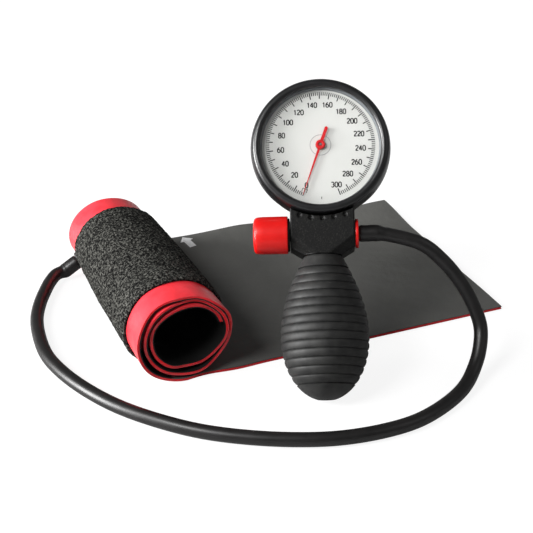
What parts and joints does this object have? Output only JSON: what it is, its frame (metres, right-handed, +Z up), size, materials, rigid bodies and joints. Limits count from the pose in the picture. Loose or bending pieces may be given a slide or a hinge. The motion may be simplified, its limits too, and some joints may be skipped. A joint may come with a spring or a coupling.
{
  "type": "blood pressure monitor",
  "caption": "Palm aneroid blood pressure monitor: dial gauge on a valve neck with a ribbed squeeze bulb, one hose and a half-rolled arm cuff.",
  "frame": {"origin": "a point on the underside of the cuff's flat tail, 99.9 mm from its free end and 44.5 mm from its back edge, on the surface that the monitor lies on", "axes": "+Z up; +X along the cuff towards its flat free end; -Y across the cuff towards the gauge and bulb"},
  "size_m": [0.2472, 0.2251, 0.1345],
  "materials": {
    "red_laminate": "glossy coated cloth",
    "grey_lining": "satin coated cloth",
    "bladder_rubber": "matte",
    "charcoal_fleece": "brushed loop pile",
    "hook_tape": "moulded hooks",
    "black_rubber": "matte",
    "black_plastic": "fine moulded texture",
    "red_plastic": "satin gloss",
    "bezel_paint": "satin black",
    "lens_glass": "clear",
    "dial_paint": "matte off-white with plain numbers",
    "pointer_paint": "satin",
    "brass": "turned",
    "steel": "bright",
    "silicone": "matte"
  },
  "bodies": {
    "root": {"cuff_outer_layer": "red_laminate", "cuff_inner_layer": "grey_lining", "cuff_bladder": "bladder_rubber", "loop_patch": "charcoal_fleece", "hook_patch": "hook_tape", "cuff_port": "black_rubber", "hose": "black_rubber", "hose_ring": "red_plastic", "hose_barb": "brass", "gauge_housing": "black_plastic", "bezel_ring": "bezel_paint", "lens": "lens_glass", "lens_gasket": "black_rubber", "dial_spacer": "dial_paint", "dial_plate": "dial_paint", "movement_plate_front": "brass", "movement_plate_rear": "brass", "movement_pillar_1": "brass", "movement_pillar_2": "brass", "movement_pillar_3": "brass", "hairspring": "steel", "capsule_front": "brass", "capsule_rear": "brass", "capsule_base": "brass", "pressure_pipe": "steel", "gauge_stem": "brass", "neck_front_shell": "black_plastic", "neck_rear_shell": "black_plastic", "neck_screw_1": "steel", "neck_screw_2": "steel", "air_manifold": "brass", "valve_collar": "black_plastic", "valve_seat": "brass", "valve_seal_ring": "black_rubber", "bulb": "black_rubber", "bulb_insert": "black_plastic", "outlet_valve_seat": "black_plastic", "inlet_valve_body": "black_plastic", "inlet_valve_cage": "black_plastic"},
    "pointer_body": {"pointer": "pointer_paint", "pointer_arbor": "steel"},
    "sector_body": {"sector_gear": "brass"},
    "rocker_body": {"rocking_shaft": "steel"},
    "stud_body": {"capsule_stud": "steel"},
    "needle_body": {"valve_needle": "steel"},
    "knob_body": {"release_knob": "red_plastic"},
    "outlet_flap_body": {"outlet_valve_flap": "silicone"},
    "inlet_flap_body": {"inlet_valve_flap": "silicone"}
  },
  "joints": [
    {"name": "capsule_lift", "type": "slide", "parent": "root", "child": "stud_body", "axis": [-0.3412, -0.7141, 0.6113], "range_m": [0, 0.002], "stiffness_N_per_m": 150},
    {"name": "pointer_turn", "type": "hinge", "parent": "root", "child": "pointer_body", "pos_m": [-0.00184, -0.07362, 0.10563], "axis": [0.3412, 0.7141, -0.6113], "range_deg": [0, 321]},
    {"name": "sector_turn", "type": "hinge", "parent": "root", "child": "sector_body", "pos_m": [0.01063, -0.08121, 0.09292], "axis": [0.3412, 0.7141, -0.6113], "range_deg": [-26.8, 0]},
    {"name": "rocker_turn", "type": "hinge", "parent": "root", "child": "rocker_body", "pos_m": [0.00411, -0.07165, 0.08786], "axis": [0.9133, -0.4056, 0.036], "range_deg": [0, 9.85]},
    {"name": "valve_travel", "type": "slide", "parent": "root", "child": "needle_body", "axis": [-0.9133, 0.4056, -0.036], "range_m": [0, 0.00081]},
    {"name": "release_knob_turn", "type": "hinge", "parent": "needle_body", "child": "knob_body", "pos_m": [-0.03356, -0.08679, 0.06764], "axis": [-0.9133, 0.4056, -0.036], "range_deg": [0, 360]},
    {"name": "outlet_flap_lift", "type": "slide", "parent": "root", "child": "outlet_flap_body", "axis": [0.2222, 0.5706, 0.7906], "range_m": [0, 0.001], "stiffness_N_per_m": 2},
    {"name": "inlet_flap_lift", "type": "slide", "parent": "root", "child": "inlet_flap_body", "axis": [0.2222, 0.5706, 0.7906], "range_m": [0, 0.001], "stiffness_N_per_m": 2}
  ],
  "couplings": [
    {"joint": "pointer_turn", "follows": "capsule_lift", "rad_per_m": 2792.5},
    {"joint": "sector_turn", "follows": "capsule_lift", "rad_per_m": -232.71},
    {"joint": "rocker_turn", "follows": "capsule_lift", "rad_per_m": 85.521},
    {"joint": "valve_travel", "follows": "release_knob_turn", "m_per_rad": 0.00012732}
  ]
}
